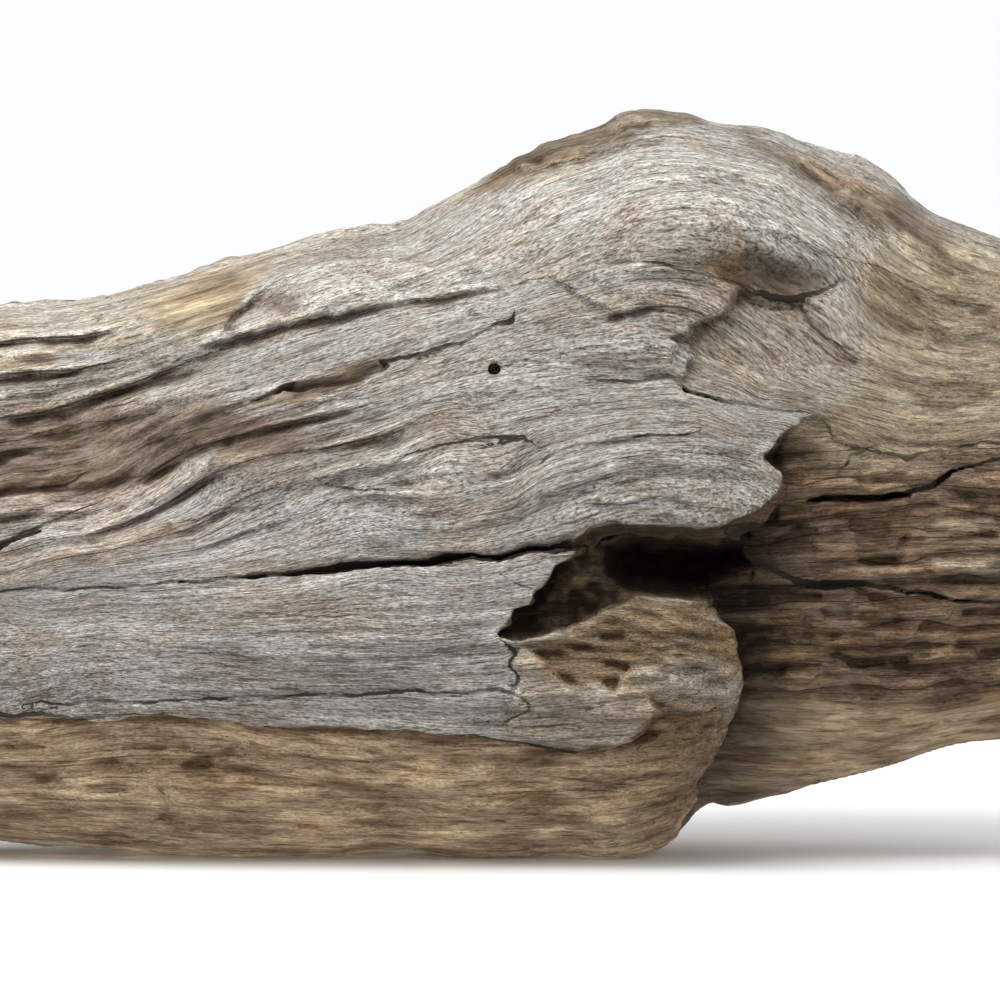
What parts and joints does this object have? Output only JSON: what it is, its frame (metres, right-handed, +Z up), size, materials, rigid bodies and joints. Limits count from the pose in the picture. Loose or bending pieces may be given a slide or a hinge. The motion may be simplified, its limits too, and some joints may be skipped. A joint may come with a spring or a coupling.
{
  "type": "piece of driftwood",
  "caption": "Weathered chunk of a trunk with a grey sun-bleached shell, a rotted hollow under an overhanging lip, long splits along the grain and worn rounded ends.",
  "frame": {"origin": "centre of the bounding box's underside: on the surface that the wood rests on, under its middle", "axes": "+X along the grain and the longest extent, +Y from the show face with the hollow towards the back and the shortest extent, +Z up from the resting surface"},
  "size_m": [0.428, 0.196, 0.2589],
  "materials": {
    "weathered_wood": "dry, sun-bleached, matt, with open grain"
  },
  "bodies": {
    "root": {"driftwood": "weathered_wood"}
  },
  "joints": []
}
